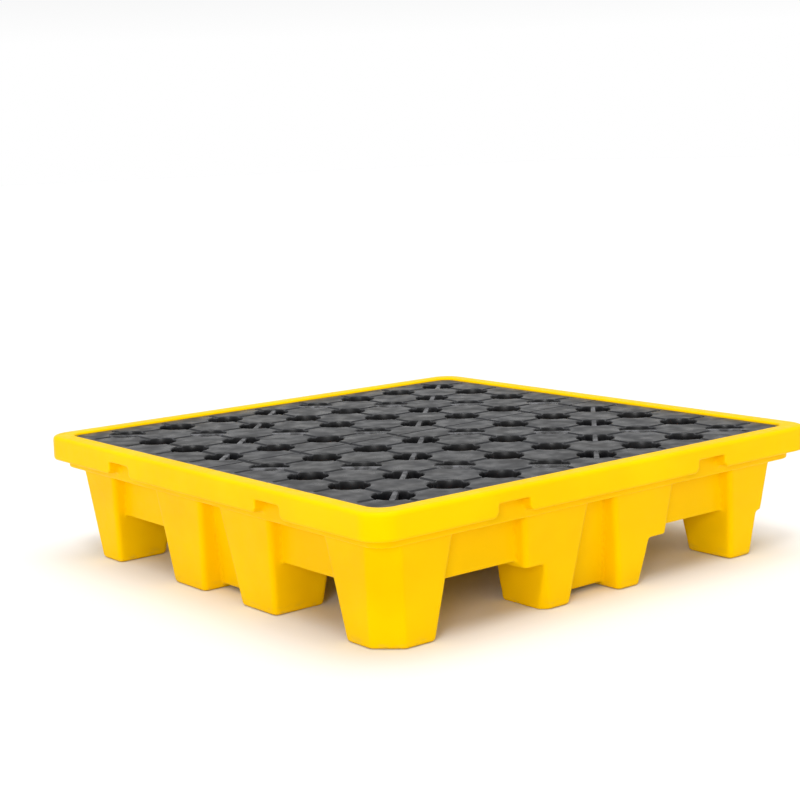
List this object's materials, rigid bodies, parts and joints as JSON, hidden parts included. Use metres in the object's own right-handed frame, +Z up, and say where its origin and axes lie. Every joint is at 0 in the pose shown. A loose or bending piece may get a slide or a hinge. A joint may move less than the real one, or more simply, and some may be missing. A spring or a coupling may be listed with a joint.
{
  "type": "spill containment pallet",
  "caption": "Low square drum spill pallet: a moulded sump tub on tapered feet with fork channels both ways, under lift-out perforated grating panels held up by posts.",
  "frame": {"origin": "on the floor under the middle of the pallet", "axes": "+Z up; -Y towards the fork entry side whose middle feet are stepped, +X to the right seen from that side"},
  "size_m": [1.3, 1.3, 0.3],
  "materials": {
    "yellow_polyethylene": "moulded polyethylene, satin",
    "black_grating": "moulded polyethylene, fine grain",
    "grey_post": "plain moulded plastic pipe"
  },
  "bodies": {
    "tub": {"sump_tub": "yellow_polyethylene", "support_post_1": "grey_post", "support_post_2": "grey_post", "support_post_3": "grey_post", "support_post_4": "grey_post", "support_post_5": "grey_post", "support_post_6": "grey_post", "support_post_7": "grey_post", "support_post_8": "grey_post", "support_post_9": "grey_post"},
    "front_panel": {"grating_panel_front": "black_grating"},
    "rear_panel": {"grating_panel_rear": "black_grating"}
  },
  "joints": [
    {"name": "front_panel_lift", "type": "slide", "parent": "tub", "child": "front_panel", "axis": [0, 0, 1], "range_m": [0, 0.12]},
    {"name": "rear_panel_lift", "type": "slide", "parent": "tub", "child": "rear_panel", "axis": [0, 0, 1], "range_m": [0, 0.12]}
  ]
}
